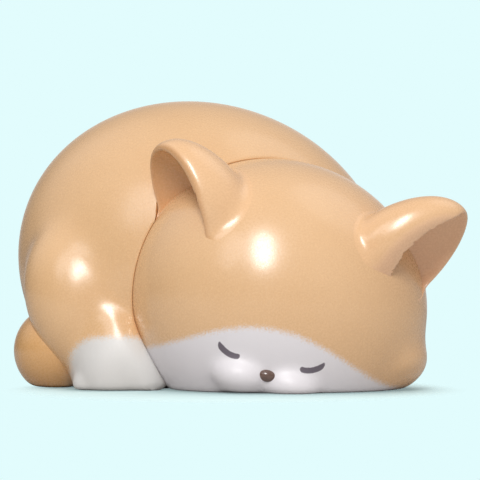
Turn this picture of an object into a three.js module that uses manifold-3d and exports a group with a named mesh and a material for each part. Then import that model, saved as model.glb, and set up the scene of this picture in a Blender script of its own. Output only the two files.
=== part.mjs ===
// Sleeping animal figurine in glossy vinyl: a curled hollow body with a hind leg, a hollow head laid on the ground
// and plugged into the body, two cupped ears, a tail, a nose bead and a plug under the body.
// Millimetres and degrees. +X is to the viewer's right, +Y away from the viewer, +Z up, the ground at z = 0.
import * as THREE from 'three';
import { mergeVertices } from 'three/addons/utils/BufferGeometryUtils.js';
import Module from 'manifold-3d';

const wasm = await Module();
wasm.setup();

// Walls and fits
const SHELL_WALL = 1.9;
const SEAT_GAP = 0.3;
const GROUND_EDGE = 1.6;

// Body: an egg lying on its side, its long axis dipping to the right, cut flat by the ground
const BODY_LENGTH = 73.5;
const BODY_DEPTH = 56;
const BODY_HEIGHT = 64.2;
const BODY_DIP = 20.3;
const BODY_CENTRE_HEIGHT = 22.4;

// Hind leg: haunch, shin, paw and toe, each placed in from the body's left end and from its front
const HAUNCH_SIZE = [20.8, 17.6, 29];
const HAUNCH_IN_LEFT = 15.2;
const HAUNCH_IN_FRONT = 11.6;
const HAUNCH_HEIGHT = 15.6;
const HAUNCH_LEAN = -20.5;
const HAUNCH_PITCH = -2.5;
const SHIN_SIZE = [10.7, 13.4, 37.2];
const SHIN_IN_LEFT = 21.2;
const SHIN_IN_FRONT = 8.1;
const SHIN_HEIGHT = 10.8;
const SHIN_LEAN = -31.8;
const SHIN_PITCH = -22;
const PAW_SIZE = [15.2, 20.4, 20.8];
const PAW_IN_LEFT = 19.7;
const PAW_IN_FRONT = 9.9;
const PAW_HEIGHT = 3.5;
const PAW_LEAN = -10.4;
const TOE_SIZE = [4, 6.8, 6];
const TOE_IN_LEFT = 14.5;
const TOE_IN_FRONT = 3.5;
const TOE_HEIGHT = 1.1;
const KNEE_BLEND = 4.6;
const ANKLE_BLEND = 4.7;
const TOE_BLEND = 1.8;
const LEG_BLEND = 3.2;

// Head: a slightly flattened ball, nested in the body's front and cut flat by the ground
const HEAD_LENGTH = 56;
const HEAD_DEPTH = 50;
const HEAD_HEIGHT = 52;
const HEAD_DIP = 24.4;
const HEAD_CENTRE_HEIGHT = 16.5;
const HEAD_RIGHT_OF_BODY = 13.9;
const HEAD_NEST = 34;
const HEAD_ROLL = 11.5;

// Cheek that the ground presses out on the right, in from the head's right end
const CHEEK_SIZE = [12.6, 24, 9.6];
const CHEEK_IN_RIGHT = 7;
const CHEEK_HEIGHT = 5.4;
const CHEEK_BLEND = 5;

// Muzzle: two soft bumps either side of the face's centre line, with the nose bead above the cleft
const MUZZLE_SIZE = [9.6, 10, 6.4];
const MUZZLE_SPREAD = 8.4;
const MUZZLE_DROP = 14;
const MUZZLE_SUNK = 2.8;
const MUZZLE_CLEFT = 2;
const MUZZLE_BLEND = 3;
const NOSE_SIZE = [3.4, 3, 2.5];
const NOSE_DROP = 13.4;
const NOSE_PROUD = 0.9;
const FACE_OFFSET = 0.4;

// Ears: thick-walled cups, mirrored in the rolled frame of the head, their mouths facing outward
const EAR_LENGTH = 31.8;
const EAR_WIDTH = 18.6;
const EAR_THICKNESS = 17.3;
const EAR_WALL = 1.9;
const EAR_IN_SIDE = 11.6;
const EAR_BELOW_TOP = 13.8;
const EAR_BEHIND_FRONT = 13.3;
const EAR_SPLAY = 51.5;
const EAR_LEAN_FORWARD = 13.8;
const EAR_TURN = 61.4;
const EAR_MOUTH_OUT = 5.4;
const EAR_MOUTH_LEAN = 15.3;
const EAR_CUP_SHIFT = 1.5;
const EAR_OFFSET = 1.7;
const EAR_PEG_RADIUS = 1;
const EAR_PEG_REACH = 2;
const EAR_PEG_SPREAD = 50;

// Neck spigot of the head, open through its bore
const NECK_RADIUS = 7;
const NECK_WALL = 1.8;
const NECK_REACH = 6;

// Tail: a fat lobe along the ground behind the haunch, pegged into the body
const TAIL_TIP_SIZE = [16, 19, 16.4];
const TAIL_ROOT_SIZE = [17.4, 30, 17.6];
const TAIL_IN_LEFT = 8.8;
const TAIL_TIP_IN_FRONT = 17.5;
const TAIL_ROOT_IN_FRONT = 31;
const TAIL_HEIGHT = 7;
const TAIL_BLEND = 6;
const TAIL_PEG_RADIUS = 2;
const TAIL_PEG_REACH = 4;

// Plug that closes the access hole under the body
const PLUG_RADIUS = 6;
const PLUG_LIP = 1.5;
const PLUG_LIP_THICKNESS = 1;
const PLUG_RIM_HEIGHT = 3.2;
const PLUG_RIM_WALL = 1.2;
const PLUG_IN_LEFT = 26;
const PLUG_IN_FRONT = 34;

// Facets
const SKIN_COLUMNS = 54;
const HOLLOW_COLUMNS = 24;
const EAR_COLUMNS = 32;
const ROUND_SEGMENTS = 24;

const radians = THREE.MathUtils.degToRad;
const vector = (x, y, z) => new THREE.Vector3(x, y, z);

/** Turn by pitch about X, then dip about Y, both in degrees. */
function turned(pitch, dip) {
  return new THREE.Quaternion().setFromEuler(new THREE.Euler(radians(pitch), radians(dip), 0, 'ZYX'));
}

/** Distance, near enough for blending, from a point to an egg of the given full size. */
function lump(size, centre, turn = new THREE.Quaternion()) {
  const [rx, ry, rz] = size.map((length) => length / 2);
  const back = turn.clone().invert();
  const local = new THREE.Vector3();
  return (point) => {
    local.copy(point).sub(centre).applyQuaternion(back);
    const near = Math.hypot(local.x / rx, local.y / ry, local.z / rz);
    const steep = Math.hypot(local.x / rx ** 2, local.y / ry ** 2, local.z / rz ** 2);
    return near * (near - 1) / Math.max(steep, 1e-9);
  };
}

/** Smaller of two distances, with their crease filled over the given width. */
function soften(a, b, width) {
  const close = Math.max(width - Math.abs(a - b), 0) / width;
  return Math.min(a, b) - close ** 3 * width / 6;
}

const blend = (first, second, width) => (point) => soften(first(point), second(point), width);
const grown = (form, amount) => (point) => form(point) - amount;
const onGround = (form) => (point) => -soften(-form(point), point.z, GROUND_EDGE);

/** Distance along a ray at which it leaves the form for good. */
function reach(form, origin, direction, farthest = 90) {
  const probe = new THREE.Vector3();
  let inside = 0;
  let outside = farthest;
  for (let step = 0; step < 44; step += 1) {
    const middle = (inside + outside) / 2;
    probe.copy(direction).multiplyScalar(middle).add(origin);
    if (form(probe) > 1e-6) {
      outside = middle;
    } else {
      inside = middle;
    }
  }
  return inside;
}

/** A geometry's position with its shared vertices merged. */
function welded(geometry) {
  const bare = geometry.index ? geometry.clone() : geometry;
  bare.deleteAttribute('normal');
  bare.deleteAttribute('uv');
  return mergeVertices(bare, 1e-4);
}

/** Closed geometry to solid. */
function solid(geometry) {
  const closed = welded(geometry);
  return new wasm.Manifold(new wasm.Mesh({
    numProp: 3,
    vertProperties: new Float32Array(closed.attributes.position.array),
    triVerts: new Uint32Array(closed.index.array),
  }));
}

/** Solid back to a geometry. */
function geometryOf(shape) {
  const mesh = shape.getMesh();
  const geometry = new THREE.BufferGeometry();
  geometry.setAttribute('position', new THREE.BufferAttribute(new Float32Array(mesh.vertProperties), 3));
  geometry.setIndex(new THREE.BufferAttribute(new Uint32Array(mesh.triVerts), 1));
  geometry.computeVertexNormals();
  return geometry;
}

/**
 * Skin of a form that stands on a level floor. A revolved drum with a dome is the start: below the waist each
 * vertex slides straight out from the axis at its own height, above it away from the waist's centre.
 * Columns gather around the facing angle, where the detail is, and towards the ends of a form that is
 * that many times longer along y than it is wide.
 */
function drape(form, axis, floor, waist, columns, facing = 0, gather = 0, longways = 1) {
  const profile = [new THREE.Vector2(0, floor)];
  const rise = waist - floor;
  for (const share of [0, 0.012, 0.045, 0.1, 0.17, 0.26, 0.37, 0.5, 0.66, 0.83]) {
    profile.push(new THREE.Vector2(1, floor + rise * share));
  }
  const domeRows = Math.round(columns / 4);
  for (let row = 0; row <= domeRows; row += 1) {
    const angle = (Math.PI / 2) * (row / domeRows);
    profile.push(new THREE.Vector2(row === domeRows ? 0 : Math.cos(angle), waist + Math.sin(angle)));
  }
  const geometry = welded(new THREE.LatheGeometry(profile, columns).rotateX(Math.PI / 2));
  const position = geometry.attributes.position;
  const start = new THREE.Vector3();
  const way = new THREE.Vector3();
  for (let index = 0; index < position.count; index += 1) {
    way.fromBufferAttribute(position, index);
    start.set(axis.x, axis.y, Math.min(way.z, waist));
    way.z -= start.z;
    const flat = Math.hypot(way.x, way.y);
    if (flat > 1e-6 || way.z > 1e-6) {
      const angle = Math.atan2(way.y, way.x) - radians(facing);
      const eased = angle - gather * Math.sin(angle) + radians(facing);
      way.set(flat * Math.cos(eased), flat * Math.sin(eased) * longways, way.z).normalize();
      way.multiplyScalar(reach(form, start, way)).add(start);
    } else {
      way.copy(start);
    }
    position.setXYZ(index, way.x, way.y, way.z);
  }
  return solid(geometry);
}

/** Skin of a round form seen from a point inside it, with the ball's poles along the given axis. */
function wrap(form, centre, axis, columns, rows) {
  const geometry = welded(new THREE.SphereGeometry(1, columns, rows));
  const stand = new THREE.Quaternion().setFromUnitVectors(vector(0, 1, 0), axis);
  const position = geometry.attributes.position;
  const way = new THREE.Vector3();
  for (let index = 0; index < position.count; index += 1) {
    way.fromBufferAttribute(position, index).applyQuaternion(stand).normalize();
    way.multiplyScalar(reach(form, centre, way, 60)).add(centre);
    position.setXYZ(index, way.x, way.y, way.z);
  }
  return solid(geometry);
}

/** Round rod from one point along a direction. */
function rod(radius, start, direction, length) {
  const geometry = new THREE.CylinderGeometry(radius, radius, length, ROUND_SEGMENTS);
  geometry.translate(0, length / 2, 0);
  geometry.applyQuaternion(new THREE.Quaternion().setFromUnitVectors(vector(0, 1, 0), direction));
  geometry.translate(start.x, start.y, start.z);
  return solid(geometry);
}

// Places worked out from the sizes
const bodyCentre = vector(0, 0, BODY_CENTRE_HEIGHT);
const bodyLeft = bodyCentre.x - BODY_LENGTH / 2;
const bodyFront = bodyCentre.y - BODY_DEPTH / 2;
const fromBody = (inLeft, inFront, height) => vector(bodyLeft + inLeft, bodyFront + inFront, height);
const headCentre = vector(HEAD_RIGHT_OF_BODY, bodyFront - HEAD_DEPTH / 2 + HEAD_NEST, HEAD_CENTRE_HEIGHT);
const faceTurn = turned(0, HEAD_ROLL);
const faceRight = vector(1, 0, 0).applyQuaternion(faceTurn);
const faceUp = vector(0, 0, 1).applyQuaternion(faceTurn);
const towardViewer = vector(0, -1, 0);

/** Body with its hind leg, as one clay form. */
function bodyForm() {
  const egg = lump([BODY_LENGTH, BODY_DEPTH, BODY_HEIGHT], bodyCentre, turned(0, BODY_DIP));
  const haunchAt = fromBody(HAUNCH_IN_LEFT, HAUNCH_IN_FRONT, HAUNCH_HEIGHT);
  const haunch = lump(HAUNCH_SIZE, haunchAt, turned(HAUNCH_PITCH, HAUNCH_LEAN));
  const shin = lump(SHIN_SIZE, fromBody(SHIN_IN_LEFT, SHIN_IN_FRONT, SHIN_HEIGHT), turned(SHIN_PITCH, SHIN_LEAN));
  const paw = lump(PAW_SIZE, fromBody(PAW_IN_LEFT, PAW_IN_FRONT, PAW_HEIGHT), turned(0, PAW_LEAN));
  const toe = lump(TOE_SIZE, fromBody(TOE_IN_LEFT, TOE_IN_FRONT, TOE_HEIGHT));
  const leg = blend(blend(blend(haunch, shin, KNEE_BLEND), paw, ANKLE_BLEND), toe, TOE_BLEND);
  return onGround(blend(egg, leg, LEG_BLEND));
}

const skull = lump([HEAD_LENGTH, HEAD_DEPTH, HEAD_HEIGHT], headCentre, turned(0, HEAD_DIP));

/** Point on the skull's skin ahead of a place in the face's own frame. */
function onFace(right, up) {
  const start = headCentre.clone().addScaledVector(faceRight, right).addScaledVector(faceUp, up);
  return start.addScaledVector(towardViewer, reach(skull, start, towardViewer));
}

/** Head with cheek and muzzle, as one clay form. */
function headForm() {
  const cheekAt = vector(headCentre.x + HEAD_LENGTH / 2 - CHEEK_IN_RIGHT, headCentre.y, CHEEK_HEIGHT);
  const cheek = lump(CHEEK_SIZE, cheekAt);
  const bumps = [-1, 1].map((side) => {
    const at = onFace(FACE_OFFSET + side * MUZZLE_SPREAD / 2, -MUZZLE_DROP);
    return lump(MUZZLE_SIZE, at.addScaledVector(towardViewer, -MUZZLE_SUNK));
  });
  const muzzle = blend(bumps[0], bumps[1], MUZZLE_CLEFT);
  return onGround(blend(blend(skull, cheek, CHEEK_BLEND), muzzle, MUZZLE_BLEND));
}

/** Tail lobe, before the body is cut out of it. */
function tailForm() {
  const tip = lump(TAIL_TIP_SIZE, fromBody(TAIL_IN_LEFT, TAIL_TIP_IN_FRONT, TAIL_HEIGHT));
  const root = lump(TAIL_ROOT_SIZE, fromBody(TAIL_IN_LEFT, TAIL_ROOT_IN_FRONT, TAIL_HEIGHT));
  return onGround(blend(tip, root, TAIL_BLEND));
}

const body = bodyForm();
const head = headForm();
const bodyWaist = BODY_CENTRE_HEIGHT * 0.6;
const headWaist = HEAD_CENTRE_HEIGHT;
const legFacing = -130;
const muzzleFacing = -90;

/** Skin of the body grown by an amount, for the shell itself and for what seats against it. */
function bodySkin(amount, columns) {
  return drape(grown(body, amount), bodyCentre, -amount, bodyWaist, columns, legFacing, 0.45);
}

/** Skin of the head grown by an amount, for the shell itself, its seat and its hollow. */
function headSkin(amount, columns) {
  return drape(grown(head, amount), headCentre, -amount, headWaist, columns, muzzleFacing, 0.35);
}

const neckWay = bodyCentre.clone().sub(headCentre).normalize();
const neckSkin = reach(skull, headCentre, neckWay);
const tailPegAt = fromBody(TAIL_IN_LEFT, (TAIL_TIP_IN_FRONT + TAIL_ROOT_IN_FRONT) / 2, TAIL_HEIGHT);
tailPegAt.x -= TAIL_ROOT_SIZE[0] / 2 - TAIL_PEG_RADIUS;
const tailPegWay = vector(1, 0, 0);
const plugAt = fromBody(PLUG_IN_LEFT, PLUG_IN_FRONT, 0);

/** Axes and place of one ear; side is -1 for the viewer's left and 1 for the right. */
function earFrame(side) {
  const foot = headCentre.clone()
    .addScaledVector(faceRight, EAR_OFFSET + side * (HEAD_LENGTH / 2 - EAR_IN_SIDE))
    .addScaledVector(faceUp, HEAD_HEIGHT / 2 - EAR_BELOW_TOP)
    .addScaledVector(towardViewer, HEAD_DEPTH / 2 - EAR_BEHIND_FRONT);
  const splay = radians(EAR_SPLAY);
  const lean = radians(EAR_LEAN_FORWARD);
  const along = faceRight.clone().multiplyScalar(side * Math.sin(splay) * Math.cos(lean))
    .addScaledVector(faceUp, Math.cos(splay) * Math.cos(lean))
    .addScaledVector(towardViewer, Math.sin(lean));
  const outward = faceRight.clone().multiplyScalar(side * Math.cos(splay)).addScaledVector(faceUp, -Math.sin(splay));
  const turn = radians(EAR_TURN);
  const mouth = outward.multiplyScalar(Math.sin(turn)).addScaledVector(towardViewer, Math.cos(turn));
  mouth.addScaledVector(along, -mouth.dot(along)).normalize();
  const across = along.clone().cross(mouth);
  const stand = new THREE.Quaternion().setFromRotationMatrix(new THREE.Matrix4().makeBasis(along, mouth, across));
  return { foot, along, mouth, across, stand };
}

/** An ear's whole fat cone, or with a clearance the room that it takes up. */
function earCone({ foot, stand }, clearance) {
  return lump([EAR_LENGTH, EAR_THICKNESS, EAR_WIDTH].map((length) => length + 2 * clearance), foot, stand);
}

/** The cup scooped out of an ear, set toward its mouth. */
function earCup({ foot, mouth, stand }) {
  const size = [EAR_LENGTH, EAR_THICKNESS, EAR_WIDTH].map((length) => length - 2 * EAR_WALL);
  return lump(size, foot.clone().addScaledVector(mouth, EAR_CUP_SHIFT), stand);
}

/** Solid of an ear's cone or cup, with rows of facets round its length. */
function earSkin(form, { foot, along }, columns) {
  return wrap(form, foot, along, columns, Math.round(columns * 0.7));
}

/** Pegs in the middle of one ear's wall, or with a clearance the sockets that take them. */
function earPegs(frame, clearance) {
  const { foot, along, mouth, across } = frame;
  return [-1, 1].map((turn) => {
    const angle = radians(180 + turn * EAR_PEG_SPREAD);
    const way = mouth.clone().multiplyScalar(Math.cos(angle)).addScaledVector(across, Math.sin(angle));
    const nearWall = foot.clone().addScaledVector(way, EAR_THICKNESS / 2 - EAR_WALL);
    const level = foot.clone().addScaledVector(along, reach(skull, nearWall, along, 30));
    const wallMiddle = (reach(earCone(frame, 0), level, way, 30) + reach(earCup(frame), level, way, 30)) / 2;
    const top = level.addScaledVector(way, wallMiddle).addScaledVector(along, EAR_PEG_RADIUS);
    const length = EAR_PEG_RADIUS + SHELL_WALL + EAR_PEG_REACH + clearance;
    return rod(EAR_PEG_RADIUS + clearance, top, along.clone().negate(), length);
  });
}

/** One cupped ear: the cone, its mouth cut off at a slant and scooped out, seated on the head. */
function ear(frame, headSeat) {
  const { foot, along, mouth } = frame;
  const lean = radians(EAR_MOUTH_LEAN);
  const cutWay = mouth.clone().multiplyScalar(Math.cos(lean)).addScaledVector(along, Math.sin(lean));
  const cutAt = foot.clone().addScaledVector(cutWay, EAR_MOUTH_OUT);
  const beyondMouth = rod(EAR_LENGTH, cutAt, cutWay, EAR_THICKNESS);
  const cone = earSkin(earCone(frame, 0), frame, EAR_COLUMNS);
  const cup = earSkin(earCup(frame), frame, EAR_COLUMNS);
  let shape = cone.subtract(beyondMouth).subtract(cup).subtract(headSeat);
  for (const peg of earPegs(frame, 0)) {
    shape = shape.add(peg);
  }
  return shape;
}

const noseAt = onFace(FACE_OFFSET, -NOSE_DROP);
noseAt.addScaledVector(towardViewer, reach(head, noseAt, towardViewer, 20) + NOSE_PROUD - NOSE_SIZE[1] / 2);

/** Nose bead, or with a clearance the pocket that it sits in. */
function noseBead(clearance) {
  const size = NOSE_SIZE.map((length) => length + 2 * clearance);
  return wrap(lump(size, noseAt, faceTurn), noseAt, towardViewer, 16, 10);
}

/** Stepped plug, from its centre line out. */
function plugProfile() {
  const lip = PLUG_RADIUS + PLUG_LIP - SEAT_GAP;
  const rim = PLUG_RADIUS - SEAT_GAP;
  const inner = rim - PLUG_RIM_WALL;
  return [
    new THREE.Vector2(0, 0),
    new THREE.Vector2(lip, 0),
    new THREE.Vector2(lip, PLUG_LIP_THICKNESS),
    new THREE.Vector2(rim, PLUG_LIP_THICKNESS),
    new THREE.Vector2(rim, PLUG_RIM_HEIGHT),
    new THREE.Vector2(inner, PLUG_RIM_HEIGHT),
    new THREE.Vector2(inner, PLUG_LIP_THICKNESS),
    new THREE.Vector2(0, PLUG_LIP_THICKNESS),
  ];
}

/** Hollow body with the head's seat, reliefs behind the ears, and holes for neck, tail and plug. */
function bodyShell(headSeat, frames) {
  const up = vector(0, 0, 1);
  const seatBacking = headSkin(SEAT_GAP + SHELL_WALL, HOLLOW_COLUMNS);
  let hollow = bodySkin(-SHELL_WALL, HOLLOW_COLUMNS).subtract(seatBacking);
  let outside = bodySkin(0, SKIN_COLUMNS).subtract(headSeat);
  for (const frame of frames) {
    outside = outside.subtract(earSkin(earCone(frame, SEAT_GAP), frame, EAR_COLUMNS));
    hollow = hollow.subtract(earSkin(earCone(frame, SEAT_GAP + SHELL_WALL), frame, HOLLOW_COLUMNS));
  }
  const neckStart = headCentre.clone().addScaledVector(neckWay, neckSkin - SHELL_WALL);
  const neckHole = rod(NECK_RADIUS + SEAT_GAP, neckStart, neckWay, NECK_REACH + SHELL_WALL);
  const tailHole = rod(TAIL_PEG_RADIUS + SEAT_GAP, tailPegAt, tailPegWay, tailPegLength() + SEAT_GAP);
  const below = plugAt.clone().addScaledVector(up, -1);
  const access = rod(PLUG_RADIUS, below, up, 1 + SHELL_WALL * 2);
  const step = rod(PLUG_RADIUS + PLUG_LIP, below, up, 1 + PLUG_LIP_THICKNESS + SEAT_GAP);
  return outside.subtract(hollow).subtract(neckHole).subtract(tailHole).subtract(access).subtract(step);
}

/** Length of the tail's peg, from the tail's middle to a little past the body's wall. */
function tailPegLength() {
  const farSide = tailPegAt.clone().addScaledVector(tailPegWay, BODY_LENGTH / 4);
  const wallAt = reach(body, farSide, tailPegWay.clone().negate());
  return BODY_LENGTH / 4 - wallAt + SHELL_WALL + TAIL_PEG_REACH;
}

/** Hollow head with its open neck spigot and the sockets for ears and nose. */
function headShell(earFrames) {
  const start = headCentre.clone().addScaledVector(neckWay, neckSkin - SHELL_WALL);
  const spigot = rod(NECK_RADIUS, start, neckWay, SHELL_WALL + NECK_REACH);
  const bore = rod(NECK_RADIUS - NECK_WALL, headCentre, neckWay, neckSkin + NECK_REACH + 1);
  let shape = headSkin(0, SKIN_COLUMNS).add(spigot);
  shape = shape.subtract(headSkin(-SHELL_WALL, HOLLOW_COLUMNS)).subtract(bore).subtract(noseBead(SEAT_GAP));
  for (const frame of earFrames) {
    for (const socket of earPegs(frame, SEAT_GAP)) {
      shape = shape.subtract(socket);
    }
  }
  return shape;
}

// Finishes
const tanVinyl = { color: 0xe1ba8f, roughness: 0.28, metalness: 0 };
const tailVinyl = { color: 0xc99e71, roughness: 0.3, metalness: 0 };
const noseGloss = { color: 0x5d4d46, roughness: 0.2, metalness: 0 };
const plugVinyl = { color: 0xd9b48a, roughness: 0.5, metalness: 0 };

const group = new THREE.Group();

/** Adds one named piece to the figurine. */
function addPiece(name, shape, finish) {
  const piece = new THREE.Mesh(geometryOf(shape), new THREE.MeshStandardMaterial(finish));
  piece.name = name;
  group.add(piece);
}

const earFrames = { left_ear: earFrame(-1), right_ear: earFrame(1) };
const headSeat = headSkin(SEAT_GAP, SKIN_COLUMNS);
addPiece('body_shell', bodyShell(headSeat, Object.values(earFrames)), tanVinyl);
addPiece('head_shell', headShell(Object.values(earFrames)), tanVinyl);
for (const [name, frame] of Object.entries(earFrames)) {
  addPiece(name, ear(frame, headSeat), tanVinyl);
}
const tailMiddle = fromBody(TAIL_IN_LEFT, (TAIL_TIP_IN_FRONT + TAIL_ROOT_IN_FRONT) / 2, 0);
const tailLobe = drape(tailForm(), tailMiddle, 0, TAIL_HEIGHT, 32, 0, 0, 2);
const tailPeg = rod(TAIL_PEG_RADIUS, tailPegAt, tailPegWay, tailPegLength());
addPiece('tail', tailLobe.subtract(bodySkin(SEAT_GAP, SKIN_COLUMNS)).add(tailPeg), tailVinyl);
addPiece('nose', noseBead(0), noseGloss);
const plug = new THREE.LatheGeometry(plugProfile(), ROUND_SEGMENTS).rotateX(Math.PI / 2);
plug.translate(plugAt.x, plugAt.y, plugAt.z);
addPiece('base_plug', solid(plug), plugVinyl);

// The origin is on the ground, under the middle of the whole figurine
const whole = new THREE.Box3().setFromObject(group);
const middle = whole.getCenter(new THREE.Vector3());
group.position.set(-middle.x, -middle.y, 0);

export default group;
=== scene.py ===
"""Sleeping animal figurine in glossy sprayed vinyl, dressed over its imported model.

A curled body with a hind leg, a head laid on the ground, two cupped ears, a tail lobe and a nose bead. The forms
are blended eggs in millimetres, seen from the body's middle; the finished pieces are in metres, in the model's frame.
"""

import logging
import math
from collections import Counter
from contextlib import contextmanager
from dataclasses import dataclass, field
from enum import Enum
from typing import Any, Callable, Iterator, Optional, Union

import bmesh
import bpy
import numpy as np
from mathutils import Matrix, Vector


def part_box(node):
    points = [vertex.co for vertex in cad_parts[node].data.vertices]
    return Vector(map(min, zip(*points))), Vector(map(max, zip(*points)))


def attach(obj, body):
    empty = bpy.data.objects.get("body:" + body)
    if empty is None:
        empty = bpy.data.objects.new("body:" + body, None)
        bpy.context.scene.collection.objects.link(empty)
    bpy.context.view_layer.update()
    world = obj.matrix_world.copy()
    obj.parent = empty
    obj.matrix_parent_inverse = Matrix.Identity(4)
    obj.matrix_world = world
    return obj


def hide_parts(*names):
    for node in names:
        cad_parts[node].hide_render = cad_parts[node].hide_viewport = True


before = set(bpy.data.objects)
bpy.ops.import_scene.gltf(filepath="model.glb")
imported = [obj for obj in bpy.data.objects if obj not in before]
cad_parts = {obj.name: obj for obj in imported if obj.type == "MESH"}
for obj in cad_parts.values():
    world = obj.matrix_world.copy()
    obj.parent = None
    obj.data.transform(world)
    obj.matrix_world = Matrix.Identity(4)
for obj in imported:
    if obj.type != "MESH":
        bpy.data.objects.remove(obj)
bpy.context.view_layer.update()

LOG = logging.getLogger("figurine")
MILLIMETRE = 0.001
RIGHT = np.array([1.0, 0.0, 0.0])
AWAY = np.array([0.0, 1.0, 0.0])
UP = np.array([0.0, 0.0, 1.0])
TOWARD_VIEWER = np.array([0.0, -1.0, 0.0])

# In millimetres: the gap between seated skins, which overlap a little, and the rounding of the ground's edge
SEAT_GAP = -0.04
GROUND_EDGE = 1.6

# How a form's skin is found: the search's reach, its first looks and the halvings after them
FARTHEST_SKIN = 64.0
NEARBY_SKIN = 40.0
LOOKS = 33
HALVINGS = 24

# How a vertex settles on a form: the span that the slope is measured over, the least slope and the longest move
SLOPE_SPAN = 0.02
LEAST_SLOPE = 0.2
LONGEST_MOVE = 0.4

# Vertices closer than this, in millimetres, are one; facets that meet at more than this angle keep a sharp edge
WELD = 1e-4
SHARP_DEGREES = 38

Form = Callable[[np.ndarray], np.ndarray]
Colour = tuple[float, float, float, float]


class Side(Enum):
    """Side of the face as the viewer sees it."""

    LEFT = -1
    RIGHT = 1


# Forms


def turned(pitch: float, dip: float) -> np.ndarray:
    """Turn by pitch about X, then dip about Y.

    Args:
        pitch: Degrees about X.
        dip: Degrees about Y.

    Returns:
        The 3 by 3 turn, whose columns are the turned axes.
    """
    turn = Matrix.Rotation(math.radians(dip), 3, "Y") @ Matrix.Rotation(math.radians(pitch), 3, "X")
    return np.array(turn)


@dataclass(frozen=True)
class Egg:
    """An egg of a given full size, the lump that every form is blended from."""

    size: tuple[float, float, float]
    centre: np.ndarray
    turn: np.ndarray = field(default_factory=lambda: np.eye(3))

    def __call__(self, points: np.ndarray) -> np.ndarray:
        """Distance of each point to the egg, near enough for blending.

        Args:
            points: Rows of x, y, z.

        Returns:
            One distance a row, below zero inside.
        """
        radii = np.array(self.size) / 2
        local = (points - self.centre) @ self.turn / radii
        near = np.linalg.norm(local, axis=1)
        steep = np.linalg.norm(local / radii, axis=1)
        return near * (near - 1) / np.maximum(steep, 1e-9)

    def grown(self, amount: float) -> "Egg":
        """The same egg with every radius changed by an amount."""
        return Egg(tuple(length + 2 * amount for length in self.size), self.centre, self.turn)


def soften(first: np.ndarray, second: np.ndarray, width: Union[float, np.ndarray]) -> np.ndarray:
    """Smaller of two distances, with their crease filled over a width.

    Args:
        first: Distances to one form.
        second: Distances to the other.
        width: How far the filling reaches.

    Returns:
        The blended distances.
    """
    close = np.maximum(width - np.abs(first - second), 0) / width
    return np.minimum(first, second) - close**3 * width / 6


def blend(first: Form, second: Form, width: float) -> Form:
    """Two forms joined as soft clay.

    Args:
        first: One form.
        second: The other form.
        width: How far the filling of their crease reaches.

    Returns:
        The joined form.
    """
    return lambda points: soften(first(points), second(points), width)


def carved(form: Form, tool: Form, width: float) -> Form:
    """A form with a tool's room taken out of it, the edge rounded over a width.

    Args:
        form: What is carved.
        tool: The room that is taken out.
        width: How far the rounding reaches.

    Returns:
        The carved form.
    """
    return lambda points: -soften(-form(points), tool(points), width)


def grown(form: Form, amount: float) -> Form:
    """A form whose skin is moved outward by an amount."""
    return lambda points: form(points) - amount


def on_ground(form: Form) -> Form:
    """A form cut level by the ground, its edge rounded."""
    return lambda points: -soften(-form(points), points[:, 2], GROUND_EDGE)


def reach(form: Form, starts: np.ndarray, ways: np.ndarray, farthest: float = FARTHEST_SKIN) -> np.ndarray:
    """Distance along each ray at which it first leaves a form.

    Args:
        form: The form that the rays start in.
        starts: Where each ray starts.
        ways: Direction of each ray, of length one.
        farthest: How far out the skin can be.

    Returns:
        One distance a ray.
    """
    inside = np.zeros(len(ways))
    outside = np.full(len(ways), farthest)
    for share in np.linspace(0, 1, LOOKS)[1:-1]:
        beyond = form(starts + ways * (share * farthest)) > 0
        first = beyond & (outside == farthest)
        outside[first] = share * farthest
        inside[~beyond & (outside == farthest)] = share * farthest
    for _ in range(HALVINGS):
        middle = (inside + outside) / 2
        beyond = form(starts + ways * middle[:, None]) > 0
        outside = np.where(beyond, middle, outside)
        inside = np.where(beyond, inside, middle)
    return inside


# Meshes


def coordinates(mesh: Union[bpy.types.Mesh, bmesh.types.BMesh]) -> np.ndarray:
    """Places of a mesh's vertices, one row each."""
    vertices = mesh.verts if isinstance(mesh, bmesh.types.BMesh) else mesh.vertices
    return np.array([vertex.co for vertex in vertices], float).reshape(-1, 3)


@contextmanager
def edited(piece: bpy.types.Object) -> Iterator[bmesh.types.BMesh]:
    """Opens a piece's mesh for editing and writes it back at the end."""
    shape = bmesh.new()
    shape.from_mesh(piece.data)
    yield shape
    shape.to_mesh(piece.data)
    shape.free()


def linked(name: str, data: bpy.types.ID) -> bpy.types.Object:
    """A new object of the scene that holds a mesh, lamp or camera."""
    made = bpy.data.objects.new(name, data)
    bpy.context.scene.collection.objects.link(made)
    return made


def into_object(shape: bmesh.types.BMesh, places: np.ndarray, name: str) -> bpy.types.Object:
    """Moves a bmesh's vertices to their places and makes it a linked object.

    Args:
        shape: The mesh, which is freed.
        places: New place of each vertex.
        name: The object's name.

    Returns:
        The new object.
    """
    for vertex, place in zip(shape.verts, places):
        vertex.co = place
    bmesh.ops.recalc_face_normals(shape, faces=shape.faces)
    mesh = bpy.data.meshes.new(name)
    shape.to_mesh(mesh)
    shape.free()
    return linked(name, mesh)


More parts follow.
